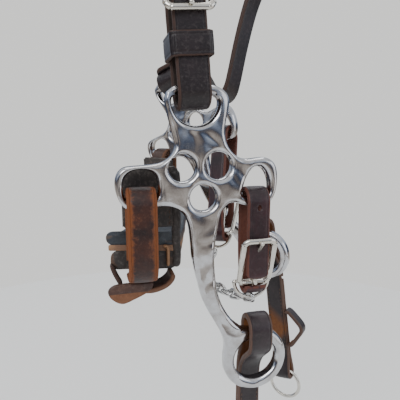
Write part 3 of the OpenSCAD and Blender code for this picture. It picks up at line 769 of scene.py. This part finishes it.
hinge, tip = cheekpiece["bar"], cheekpiece["tip"]
hingeAt = leaning @ shift(0, *hinge)
tilt = math.degrees(math.atan2(hinge[0] - tip[0], hinge[1] - tip[1]))
drop = math.hypot(hinge[0] - tip[0], hinge[1] - tip[1]) - cheekpiece["wire"]
buckle = buckleFrame("nearCheekBuckle", cheekpiece["buckleWide"], drop, cheekpiece["wire"], 0.6,
                     hingeAt @ spin(x=180 - tilt) @ flipY)
finishPiece(buckle, "headstall", ["near_cheek_buckle"], nickelPlate)
tongue = tonguePiece("nearCheekTongue", cheekpiece["wire"], cheekpiece["pin"], (-3, -10.2), (-12.6, -19.8),
                     hingeAt)
finishPiece(tongue, "near_cheek_tongue", ["near_cheek_tongue"], nickelPlate)

foldR, foldTop = cheekpiece["foldRadius"], hinge[1] + cheekpiece["foldTall"]
foldPath = (
    [(hinge[0] - foldR, foldTop), (hinge[0] - foldR, hinge[1] + 8)]
    + arcPoints(*hinge, foldR, 180, 360, 12)
    + [(hinge[0] + foldR, hinge[1] + 8), (hinge[0] + foldR, foldTop)]
)
fold = flatBand("nearChape", foldPath, cheekpiece["width"], cheekpiece["foldThick"], leaning,
                {"groove": 0.05, "crown": 0.0, "flip": True, "wobble": 0.03}, 0.4)
punch(fold, [(leaning @ shift(0, hinge[0], hinge[1] - 1), 2.3, 4.5, 12)], cutLeather)
finishPiece(fold, "headstall", ["near_chape"], bridleLeather)


def keeperPiece(name, halfX, halfY, corner, tall, thick, matrix):
    path = []
    for cx, cy, start in ((halfX - corner, halfY - corner, 0), (-halfX + corner, halfY - corner, 90),
                          (-halfX + corner, -halfY + corner, 180), (halfX - corner, -halfY + corner, 270)):
        path += arcPoints(cx, cy, corner, start, start + 90, 6)
    centres = [(x, y, 0) for x, y in smoothPath(path, 0.6, closed=True)]
    return leatherBand(name, centres, (0, 0, 1), tall, thick, matrix, {
        "groove": 0.12, "crown": 0.1, "closed": True, "reach": 0.9, "wobble": 0.05, "flip": True})


keeperX = cheekpiece["width"] / 2 + 0.35 + cheekpiece["keeperThick"] / 2  # 0.35 mm clear all round
keeperY = cheekpiece["loop"] + cheekpiece["thick"] + 0.35 + cheekpiece["keeperThick"] / 2
keeper = keeperPiece("nearKeeper", keeperX, keeperY, 2.4, cheekpiece["keeperTall"], cheekpiece["keeperThick"],
                     leaning @ shift(0, 0, cheekpiece["keeperAt"]))
finishPiece(keeper, "near_keeper", ["near_keeper"], bridleLeather)
print("near cheekpiece made")


# Far cheekpiece: a loop round the far bar and the slack strap above it, bent back on itself.
slack = {"width": 15.9, "thick": 3.2, "loop": 7.0, "lie": 1.4, "holes": (84, 96, 108)}
slackPath = [
    (64, 6.6), (58, 10.4), (51, 14.7), (45, 17.6), (39, 19.8), (31, 18.2), (23, 13), (15, 6.4), (7, 1.4),
    (0.8, -0.8), (-2.6, 5), (-2, 16), (0.6, 36), (2.4, 60),
] + [(slack["lie"], z) for z in (80, 100, 118)]
slackStrap = flatBand("farCheekpiece", slackPath, slack["width"], slack["thick"], bight,
                      {"point": 9, "blunt": 6, "reach": 1.2})
punch(slackStrap, [(bight @ shift(0, slack["lie"], z), holeR, holeR, 12) for z in slack["holes"]], cutLeather)
finishPiece(slackStrap, "far_cheekpiece", ["far_cheekpiece"], bridleLeather)
ringPath = arcPoints(0, 0, slack["loop"], 0, 350, 34)
loopBand = flatBand("farCheekpieceLoop", ringPath, slack["width"], slack["thick"],
                    farSide @ shift(-1, 0, eyeZ), {"closed": True, "reach": 1.2, "flip": True})
finishPiece(loopBand, "far_cheekpiece", [], bridleLeather)
print("far cheekpiece made")


# Curb straps with buckles, tongues and dees. Zero is the middle of the cheek's rear bar. The strap goes over
# the bar and down, and its lower fold, at -drop, holds the buckle's bar and the dee.
curb = {
    "width": 12, "thick": 2.6, "pocket": 3.2, "hingeY": -1.7, "window": 25, "buckleWide": 13.6, "wire": 2.8,
    "pin": 2.2, "bow": 0.5, "deeY": 1.9, "deeWide": 19.2, "deeWire": 2.0,
    "nearDrop": 43.5, "nearRadius": 5.4, "farDrop": 68, "farRadius": 6.4,
}


def curbSet(side, drop, r, matrix):
    legY, foldY = r + curb["thick"] / 2, curb["pocket"] + curb["thick"] / 2
    path = (
        [(-legY, 4 - drop), (-legY, 14 - drop), (-legY, 22 - drop), (-legY, -12)]
        + arcPoints(0, 0, legY, 180, 0, 16)
        + [(legY, -10), (legY, 18 - drop), (legY - 0.8, 8 - drop), (foldY + 0.2, 1.5 - drop)]
        + arcPoints(0, -drop, foldY, -5, -168, 14)
    )
    strap = flatBand(side + "CurbStrap", path, curb["width"], curb["thick"], matrix,
                     {"reach": 1.1, "blunt": 2.2})
    punch(strap, [
        (matrix @ shift(0, -legY, 17.05 - drop), 1.9, 5.1, 8),  # slot for the tongue
        (matrix @ shift(0, -legY - 2.1, -2), 1.25, 1.6, 4.6),  # spare hole, on the outside only
        (matrix @ shift(0, -foldY, -drop), 2.2, 6, 6),  # slot in the fold
    ], cutLeather)
    finishPiece(strap, side + "_curb", [side + "_curb_strap"], curbLeather)
    barAt = matrix @ shift(0, curb["hingeY"], -drop)
    out = r + curb["thick"] + curb["wire"] / 2 + 0.3 + curb["hingeY"]
    tilt = math.degrees(math.atan2(out, curb["window"]))
    tall = math.hypot(out, curb["window"]) - curb["wire"]
    buckle = buckleFrame(side + "CurbBuckle", curb["buckleWide"], tall, curb["wire"], curb["bow"],
                         barAt @ spin(x=tilt))
    finishPiece(buckle, side + "_curb", [side + "_curb_buckle"], nickelPlate)
    knee = 1.3 - r - curb["hingeY"]
    tongue = tonguePiece(side + "CurbTongue", curb["wire"], curb["pin"], (knee, 15.9), (knee - 8.4, 24.3),
                         barAt)
    finishPiece(tongue, side + "_curb_tongue", [side + "_curb_tongue"], nickelPlate)
    wide = curb["deeWide"] / 2
    path = arcPoints(0, 0, wide, 180, 360, 24) + [(x, 0) for x in (wide * 0.6, 0, -wide * 0.6)]
    dee = wirePiece(side + "CurbDee", smoothPath([(x, 0, z) for x, z in path], 0.6, closed=True),
                    curb["deeWire"] / 2, matrix @ shift(0, curb["deeY"], -drop), closed=True)
    finishPiece(dee, side + "_curb_dee", [side + "_curb_dee"], nickelPlate)


curbSet("near", curb["nearDrop"], curb["nearRadius"], nearCurb)
curbSet("far", curb["farDrop"], curb["farRadius"], farCurb)
print("curb straps made")


# Curb chain: a rounded wire link, twisted about its long axis, for each body.
chain = {"links": 11, "inner": 6.8, "wide": 3.0, "wire": 1.8, "pitch": 6.5, "first": 2.2, "twist": 38}


def linkTree():
    tree = bpy.data.node_groups.new("twisted curb link", "GeometryNodeTree")
    for label in ("Width", "Height", "Corner", "Wire radius", "Twist per metre"):
        tree.interface.new_socket(label, in_out="INPUT", socket_type="NodeSocketFloat")
    tree.interface.new_socket("Steel", in_out="INPUT", socket_type="NodeSocketMaterial")
    tree.interface.new_socket("Link", in_out="OUTPUT", socket_type="NodeSocketGeometry")
    given = addNode(tree, "NodeGroupInput").outputs
    box = addNode(tree, "GeometryNodeCurvePrimitiveQuadrilateral", {"mode": "RECTANGLE"}, None,
                  {"Width": given["Width"], "Height": given["Height"]})
    rounded = addNode(tree, "GeometryNodeFilletCurve", {"mode": "POLY"}, {"Count": 10},
                      {"Curve": box.outputs[0], "Radius": given["Corner"]})
    even = addNode(tree, "GeometryNodeResampleCurve", {"mode": "COUNT"}, {"Count": 56},
                   {"Curve": rounded.outputs[0]})
    spot = addNode(tree, "GeometryNodeInputPosition")
    parts = addNode(tree, "ShaderNodeSeparateXYZ", None, None, {0: spot.outputs[0]})
    angle = addNode(tree, "ShaderNodeMath", {"operation": "MULTIPLY"}, None,
                    {0: parts.outputs[1], 1: given["Twist per metre"]})
    turned = addNode(tree, "ShaderNodeVectorRotate", {"rotation_type": "Y_AXIS"}, None,
                     {"Vector": spot.outputs[0], "Angle": angle.outputs[0]})
    moved = addNode(tree, "GeometryNodeSetPosition", None, None,
                    {"Geometry": even.outputs[0], "Position": turned.outputs[0]})
    ring = addNode(tree, "GeometryNodeCurvePrimitiveCircle", {"mode": "RADIUS"}, {"Resolution": 14},
                   {"Radius": given["Wire radius"]})
    tube = addNode(tree, "GeometryNodeCurveToMesh", None, None,
                   {"Curve": moved.outputs[0], "Profile Curve": ring.outputs[0]})
    smooth = addNode(tree, "GeometryNodeSetShadeSmooth", None, None, {0: tube.outputs[0]})
    real = addNode(tree, "GeometryNodeRealizeInstances", None, None, {0: smooth.outputs[0]})
    painted = addNode(tree, "GeometryNodeSetMaterial", None, None,
                      {"Geometry": real.outputs[0], "Material": given["Steel"]})
    addNode(tree, "NodeGroupOutput", None, None, {0: painted.outputs[0]})
    return tree


linkNodes = linkTree()
deeBottom = (28.9, curb["deeY"], -2 - curb["nearDrop"] - curb["deeWide"] / 2)
chainPoints = [deeBottom, (22.5, 22, -60), (16.6, 42, -59), (20.4, 58.4, -53), (28.7, 64.5, -46.6)]
chainWay = smoothPath(chainPoints, 0.05)
chainRun = np.concatenate([[0], np.cumsum(np.linalg.norm(np.diff(chainWay, axis=0), axis=1))])
linkWide, linkTall = chain["wide"] + chain["wire"], chain["inner"] + chain["wire"]


def onChain(s):
    return np.array([np.interp(s, chainRun, chainWay[:, k]) for k in range(3)])


for index in range(1, chain["links"] + 1):
    s = chain["first"] + chain["pitch"] * (index - 1)
    d = Vector(onChain(s + 2) - onChain(max(s - 2, 0)))
    turnZ = math.degrees(math.atan2(d.y, d.x))
    turnY = math.degrees(math.acos(d.z / d.length))
    quarter = 90 if index % 2 == 0 else 0  # every second link stands on edge
    place = nearFrame @ shift(*onChain(s)) @ spin(z=turnZ) @ spin(y=turnY) @ spin(z=quarter)
    link = runTree("curbLink%d" % index, linkNodes, {
        "Width": linkWide * mm, "Height": linkTall * mm, "Corner": linkWide / 2 * 0.98 * mm,
        "Wire radius": chain["wire"] / 2 * mm, "Steel": chainSteel,
        "Twist per metre": math.radians(chain["twist"]) / (linkTall * mm)})
    link.data.transform(place @ Matrix.Rotation(math.radians(90), 4, "X"))
    closeUp(link.data)
    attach(link, "curb_link_%d" % index)
    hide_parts("curb_link_%d" % index)
print("chain made")


# Rein connectors: a strap that crosses itself under the cheek's ring and hangs down to a wire ring.
rein = {"width": 13, "thick": 3.0, "back": 10, "front": 13.3, "ring": 11.0, "wire": 2.4, "stitchIn": 1.9}
reinPath = (
    [(13.3, -35.2), (13.3, -32), (12.9, -25), (11.2, -18), (8.6, -12.5), (6.9, -8), (6.7, -3)]
    + arcPoints(0, 2.55, 6.7, 0, 180, 16)
    + [(-6.7, -4.2), (-5, -8.5), (0, -13.5), (5, -18.5), (8.6, -25), (9.9, -33)]
    + [(rein["back"], z) for z in (-42, -60, -88)] + [(9.8, -96), (8.3, -103.6)]
    + arcPoints(11.6, -109.2, 4.1, 180, 360, 14)
    + [(14.9, -103.6), (13.4, -96)] + [(rein["front"], z) for z in (-88, -60, -37.2)]
)


def wearOff(strap, matrix):  # the lower part has lost its grain
    local = np.array([(matrix.inverted() @ v.co) / mm for v in strap.data.vertices])
    layer = strap.data.attributes["flesh"]
    flesh = np.zeros(len(local), np.float32)
    layer.data.foreach_get("value", flesh)
    below = np.clip((-46 - local[:, 2] - local[:, 0]) / 24, 0, 1)
    above = np.clip((local[:, 2] + 94 - local[:, 0]) / 14, 0, 1)
    bare = (below * above).astype(np.float32)
    layer.data.foreach_set("value", np.maximum(flesh, bare * 0.8))


def reinSet(side, matrix, worn=False):
    strap = flatBand(side + "ReinStrap", reinPath, rein["width"], rein["thick"], matrix,
                     {"reach": 1.3, "wobble": 0.2, "flip": True})
    if worn:
        wearOff(strap, matrix)
    finishPiece(strap, side + "_rein", [side + "_rein_strap"], reinLeather)
    around = arcPoints(0, 0, rein["ring"], 0, 355, 71)
    radii = [rein["wire"] / 2 * (1 + 0.04 * math.exp(-(((i - 54) / 2.0) ** 2))) for i in range(72)]  # weld
    ring = wirePiece(side + "ReinRing", [(x, 0, z) for x, z in around], radii,
                     matrix @ shift(0, 11.6, -108.2 - rein["ring"]), closed=True)
    finishPiece(ring, side + "_rein_ring", [side + "_rein_ring"], nickelPlate)
    across = rein["width"] / 2 - rein["stitchIn"]
    lines = [[(way * across, y, z) for z in (-44, -60, -75, -90)] for y in (8.45, 14.85) for way in (-1, 1)]
    sew(side + "ReinStitches", lines, matrix, side + "_rein")


reinSet("near", nearRein)
reinSet("far", farRein, worn=True)
loopPath = [(0.6, -60.8), (3.2, -61.6), (7.2, -66), (10.9, -71), (11.5, -73.6), (10.9, -76), (7.2, -81),
            (3.2, -86), (0.6, -87)]
sideLoop = leatherBand("farReinLoop", [(x, 0, z) for x, z in smoothPath(loopPath, 0.6)], (0, 1, 0), 8.4, 2.6,
                       farRein @ shift(rein["width"] / 2, 11.6, 0),
                       {"groove": 0.06, "reach": 0.8, "flip": True})
finishPiece(sideLoop, "far_rein", ["far_rein_loop"], reinLeather)
print("rein connectors made")


# Noseband: two straps through the front eyes, three padded layers between the cheeks, and side panels.
nose = {
    "x": -29.5, "bar": -1.3, "r": 5.7, "width": 14.4, "thick": 3.0, "farWidth": 12,
    "panel": 2.6, "panelY": 9.2, "farPanelY": 10,
    "padTop": -16.5, "padWide": 36.8, "yaw": -15, "roll": 6.8, "liner": 3.0, "pad": 9.4,
}
noseLeg = nose["r"] + nose["thick"] / 2
nosePath = (
    [(noseLeg, -31), (noseLeg, -22), (noseLeg, -14)]
    + [(y, z + nose["bar"]) for y, z in arcPoints(0, 0, noseLeg, 0, 180, 16)]
    + [(-noseLeg - 0.4, -12), (-noseLeg - 0.8, -24), (-noseLeg + 0.4, -32), (-2, -38), (6, -39.6), (14, -41)]
)
noseStrap = flatBand("nearNoseStrap", nosePath, nose["width"], nose["thick"], nearFrame @ shift(nose["x"]),
                     {"reach": 2.3, "groove": 0.22, "crown": 0.3, "wobble": 0.3, "flip": True})
finishPiece(noseStrap, "noseband", ["near_nose_strap"], noseLeather)
farPath = [(noseLeg + 1, -24)] + arcPoints(0, 0, noseLeg + 1, 0, 180, 16) + [(-noseLeg - 1, -22)]
farNose = flatBand("farNoseStrap", farPath, nose["farWidth"], nose["thick"], noseFar,
                   {"reach": 2.4, "wobble": 0.2, "flip": True})
finishPiece(farNose, "noseband", ["far_nose_strap"], billetLeather)

sag = [(-6, 3.6), (8, 0), (30, -5.4), (55, -7.6), (80, -4), (102, 5), (122, 16)]
padFrame = nearFrame @ shift(nose["x"] - 0.4, 0, nose["padTop"]) @ spin(z=nose["yaw"])


# One layer of the noseband: a rounded section along the sag, cut square to the panels at both ends.
def padLayer(name, top, wide, thick, corner, inset, soft):
    line = smoothPath(sag, 1.2)
    tangents = np.gradient(line, axis=0)
    tangents /= np.linalg.norm(tangents, axis=1)[:, None]
    normals = np.stack([-tangents[:, 1], tangents[:, 0]], 1)
    nearPlane = (nearFrame @ (Vector((0, nose["panelY"] + inset, 0)) * mm), Vector((0, -1, 0)))
    nearward = spin(z=farYaw) @ Vector((0, -1, 0))
    farPlane = (farEye + nearward * ((nose["farPanelY"] + nose["panel"] + inset) * mm), -nearward)
    section = []
    for cx, ch, start in ((wide / 2 - corner, thick / 2 - corner, 0),
                          (-wide / 2 + corner, thick / 2 - corner, 90),
                          (-wide / 2 + corner, -thick / 2 + corner, 180),
                          (wide / 2 - corner, -thick / 2 + corner, 270)):
        section += arcPoints(cx, ch, corner, start, start + 90, 8)
        if start in (0, 180):  # points across the broad faces
            way = 1 if start == 0 else -1
            section += [(x * way, ch + corner * way)
                        for x in np.linspace(wide / 2 - corner, -wide / 2 + corner, 12)[1:-1]]
    count, rings = len(section), len(line)
    verts, edge = [], []
    for p, n in zip(line, normals):
        for x, h in section:
            deep = top + thick / 2 - h
            verts.append(np.array([x, p[0] - n[0] * deep, p[1] - n[1] * deep]))
            edge.append(math.exp(-(((wide / 2 - abs(x)) / 1.5) ** 2)))
    faces = []
    for i in range(rings - 1):
        row, above = i * count, (i + 1) * count
        for k in range(count):
            n = (k + 1) % count
            faces.append((row + k, row + n, above + n, above + k))
    faces += [tuple(range(count)), tuple(range((rings - 1) * count, rings * count))[::-1]]
    piece = newPiece(name, verts, faces, padFrame, {"edge": edge, "flesh": np.zeros(len(verts))})
    work = bmesh.new()
    work.from_mesh(piece.data)
    for point, away in (nearPlane, farPlane):
        cut = bmesh.ops.bisect_plane(work, geom=work.verts[:] + work.edges[:] + work.faces[:],
                                     plane_co=point, plane_no=away, clear_outer=True)
        rim = [g for g in cut["geom_cut"] if isinstance(g, bmesh.types.BMEdge)]
        bmesh.ops.contextual_create(work, geom=rim)
    bmesh.ops.recalc_face_normals(work, faces=work.faces)
    work.to_mesh(piece.data)
    work.free()
    soften = piece.modifiers.new("soft ends", "BEVEL")
    soften.width, soften.segments = 0.9 * mm, 3
    soften.limit_method, soften.angle_limit = "ANGLE", math.radians(50)
    made = keepResult(piece)
    closeUp(made)
    for v in made.vertices:  # stuffing shifts with use
        v.co += v.normal * (noise.noise(v.co / (9 * mm)) * soft * mm)
    return piece


roll = padLayer("noseRoll", 0, nose["padWide"], nose["roll"], 3.2, 0.25, 0.35)
finishPiece(roll, "noseband", ["nose_roll"], rollLeather)
liner = padLayer("noseLiner", nose["roll"], nose["padWide"] - 2, nose["liner"], 0.8, 0.0, 0.12)
finishPiece(liner, "noseband", ["nose_liner"], linerLeather)
pad = padLayer("nosePad", nose["roll"] + nose["liner"], nose["padWide"] - 4, nose["pad"], 3.6, 0.6, 0.5)
finishPiece(pad, "noseband", ["nose_pad"], panelLeather)


def leatherPlate(name, loop, thick, rounding, matrix):
    piece = platePiece(name, [smoothPath(loop, 0.8, closed=True)], thick, rounding, matrix)
    count = len(piece.data.vertices)
    for key, value in (("edge", 0.4), ("flesh", 0)):
        layer = piece.data.attributes.new(key, "FLOAT", "POINT")
        layer.data.foreach_set("value", np.full(count, value, np.float32))
    return piece


def boxLoop(x0, x1, z0, z1, r):
    loop = []
    for cx, cz, start in ((x1 - r, z1 - r, 0), (x0 + r, z1 - r, 90), (x0 + r, z0 + r, 180),
                          (x1 - r, z0 + r, 270)):
        loop += arcPoints(cx, cz, r, start, start + 90, 6)
    return loop


# A narrow band that stands on edge, its path seen from the front.
def edgeBand(name, path, width, thick, y, look):
    centres = [(x, 0, z) for x, z in smoothPath(path, 0.6)]
    return leatherBand(name, centres, (0, 1, 0), width, thick, nearFrame @ shift(0, y, 0), look)


nearPanel = leatherPlate("nearNosePanel", boxLoop(-38, -9.4, -15.2, 16.3, 3), nose["panel"], 0.9,
                         nearFrame @ shift(0, nose["panelY"] + nose["panel"] / 2, 0))
finishPiece(nearPanel, "noseband", ["near_nose_panel"], panelLeather)
farPanel = leatherPlate("farNosePanel", boxLoop(-11, 16, -26, 3, 3), nose["panel"], 0.9,
                        noseFar @ shift(0, nose["farPanelY"] + nose["panel"] / 2, 0))
finishPiece(farPanel, "noseband", ["far_nose_panel"], panelLeather)

# The loose end of the noseband: a billet that curls under, its pointed tip and the small loop that held it.
billet = edgeBand("nearNoseBillet", [(-13, -39.6), (-13.8, -42.8), (-17.5, -46), (-24, -47.8), (-31, -47)],
                  13, 2.6, 11, {"reach": 1.4})
finishPiece(billet, "noseband", ["near_nose_billet"], billetLeather)
tipOutline = [(-24, -43), (-30, -42.8), (-38, -42.6), (-44, -43.4), (-46.6, -46.4), (-44.6, -50.6),
              (-39.5, -53.4), (-33, -51.4), (-27, -48.6), (-24, -46)]
tipPlate = leatherPlate("nearNoseTip", tipOutline, 2.6, 1.0, nearFrame @ shift(0, 5.8, 0))
# Its lower part is painted in the tan flesh-side colour as painted direct sunlight below a shadow line.
paintedSunlit = [(nearFrame.inverted() @ v.co).z / mm < -47.6 for v in tipPlate.data.vertices]
tipPlate.data.attributes["flesh"].data.foreach_set("value", np.array(paintedSunlit, np.float32))
finishPiece(tipPlate, "noseband", [], billetLeather)
smallLoop = edgeBand("nearNoseLoop", [(-44.2, -33), (-43, -37), (-41.2, -41), (-39.6, -44)], 5, 2.2, 9.4,
                     {"reach": 0.8})
finishPiece(smallLoop, "noseband", ["near_nose_loop"], bridleLeather)

# Trim on the near panel: a piped edge, two rows of stitches and the turned corner of the lining.
pipingPath = [(-10.4 + 0.25 * math.sin(t / 3), 0, 12 - t) for t in range(48)]
piping = wirePiece("nearNosePiping", pipingPath, 2.6, nearFrame @ shift(0, 10.6, 0), flat=0.9)
stitchY = nose["panelY"] - 0.1
sew("nearNosePanelStitches", [[(-20.5, stitchY, 13.9), (-14, stitchY, 13.9)],
                              [(-13.9, stitchY, z) for z in (13, 0, -13)]], nearFrame, "noseband")
finishPiece(piping, "noseband", [], panelLeather)
turnedEdge = edgeBand("nearNoseTurnedEdge", [(-17.5, -25.2), (-15.6, -25.6), (-15, -27.4), (-15.1, -36)],
                      3, 1.9, 9.6, {"groove": 0, "crown": 0, "reach": 0.8})
finishPiece(turnedEdge, "noseband", [], linerLeather)
print("noseband made")


# Floor, light and camera. The camera sees a plain pale ground, and the metal reflects a banded room.
studio = {
    "floorDrop": 0.05, "floorRadius": 0.62, "floorTone": "#e2e2e0",
    "ground": "#e6e6e4", "groundStrength": 1.25,
    "distance": 0.2, "azimuth": -14, "elevation": 10, "lens": 36, "sensor": 36,
}
roomBands = [  # height in the room, from straight down to straight up, and its colour
    (0.0, "#8f867c"), (0.26, "#c9c0b6"), (0.36, "#d8d0c6"), (0.43, "#8b7f77"), (0.48, "#3c3f4a"),
    (0.54, "#56627a"), (0.61, "#b9c6da"), (0.75, "#eef2f7"), (1.0, "#ffffff"),
]
lamps = {  # size in metres, power in watts, place from the hub in metres
    "key": (0.9, 14, (-0.9, -1.0, 0.9)),
    "fill": (1.2, 6, (1.2, -0.7, 0.2)),
    "top": (1.0, 8, (0.1, 0.6, 1.2)),
}
floorMesh = bpy.data.meshes.new("floor")
work = bmesh.new()
bmesh.ops.create_circle(work, cap_ends=True, segments=96, radius=studio["floorRadius"])
work.to_mesh(floorMesh)
work.free()
floor = bpy.data.objects.new("floor", floorMesh)
scene.collection.objects.link(floor)
floor.location = (0, 0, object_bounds()[0].z - studio["floorDrop"])
floorLook, tree, shader, place = newMaterial("plain pale floor")  # matt backdrop paper, with no sheen
shader.inputs["Base Color"].default_value = hexColour(studio["floorTone"])
shader.inputs["Roughness"].default_value = 0.9
floorMesh.materials.append(floorLook)

world = bpy.data.worlds.new("studio")
scene.world = world
world.use_nodes = True
tree = world.node_tree
tree.nodes.clear()
direction = addNode(tree, "ShaderNodeTexCoord").outputs["Generated"]
up = addNode(tree, "ShaderNodeSeparateXYZ", None, None, {0: direction}).outputs[2]
wide = addNode(tree, "ShaderNodeTexNoise", None, {"Scale": 2.6, "Detail": 3}, {"Vector": direction})
bent = addNode(tree, "ShaderNodeMath", {"operation": "MULTIPLY_ADD"}, {1: 1.1},
               {0: wide.outputs["Fac"], 2: up})
height = addNode(tree, "ShaderNodeMapRange", None, {"From Min": -0.45, "From Max": 1.55},
                 {"Value": bent.outputs[0]})
ramp = addNode(tree, "ShaderNodeValToRGB", None, None, {0: height.outputs[0]})
for stop, (spot, code) in zip(ramp.color_ramp.elements, (roomBands[0], roomBands[-1])):
    stop.position, stop.color = spot, hexColour(code)
for spot, code in roomBands[1:-1]:
    ramp.color_ramp.elements.new(spot).color = hexColour(code)
room = addNode(tree, "ShaderNodeBackground", None, {"Strength": 1.0}, {"Color": ramp.outputs[0]})
ground = {"Color": hexColour(studio["ground"]), "Strength": studio["groundStrength"]}
plain = addNode(tree, "ShaderNodeBackground", None, ground)
seen = addNode(tree, "ShaderNodeLightPath").outputs["Is Camera Ray"]
mixed = addNode(tree, "ShaderNodeMixShader", None, None, {0: seen, 1: room.outputs[0], 2: plain.outputs[0]})
addNode(tree, "ShaderNodeOutputWorld", None, None, {0: mixed.outputs[0]})

for name, (size, power, spot) in lamps.items():
    light = bpy.data.lights.new(name, "AREA")
    light.size, light.energy = size, power
    lamp = bpy.data.objects.new(name, light)
    scene.collection.objects.link(lamp)
    lamp.location = Vector(spot) + hub
    lamp.rotation_euler = (hub - lamp.location).to_track_quat("-Z", "Y").to_euler()

azimuth, elevation = math.radians(studio["azimuth"]), math.radians(studio["elevation"])
level = math.cos(elevation)
back = Vector((math.sin(azimuth) * level, -math.cos(azimuth) * level, math.sin(elevation)))
lens = bpy.data.cameras.new("camera")
lens.lens, lens.sensor_width = studio["lens"], studio["sensor"]
lens.clip_start, lens.clip_end = 0.005, 20
camera = bpy.data.objects.new("camera", lens)
scene.collection.objects.link(camera)
camera.location = hub + back * studio["distance"]
camera.rotation_mode = "QUATERNION"
camera.rotation_quaternion = (-back).to_track_quat("-Z", "Y")
scene.camera = camera
print("studio made")
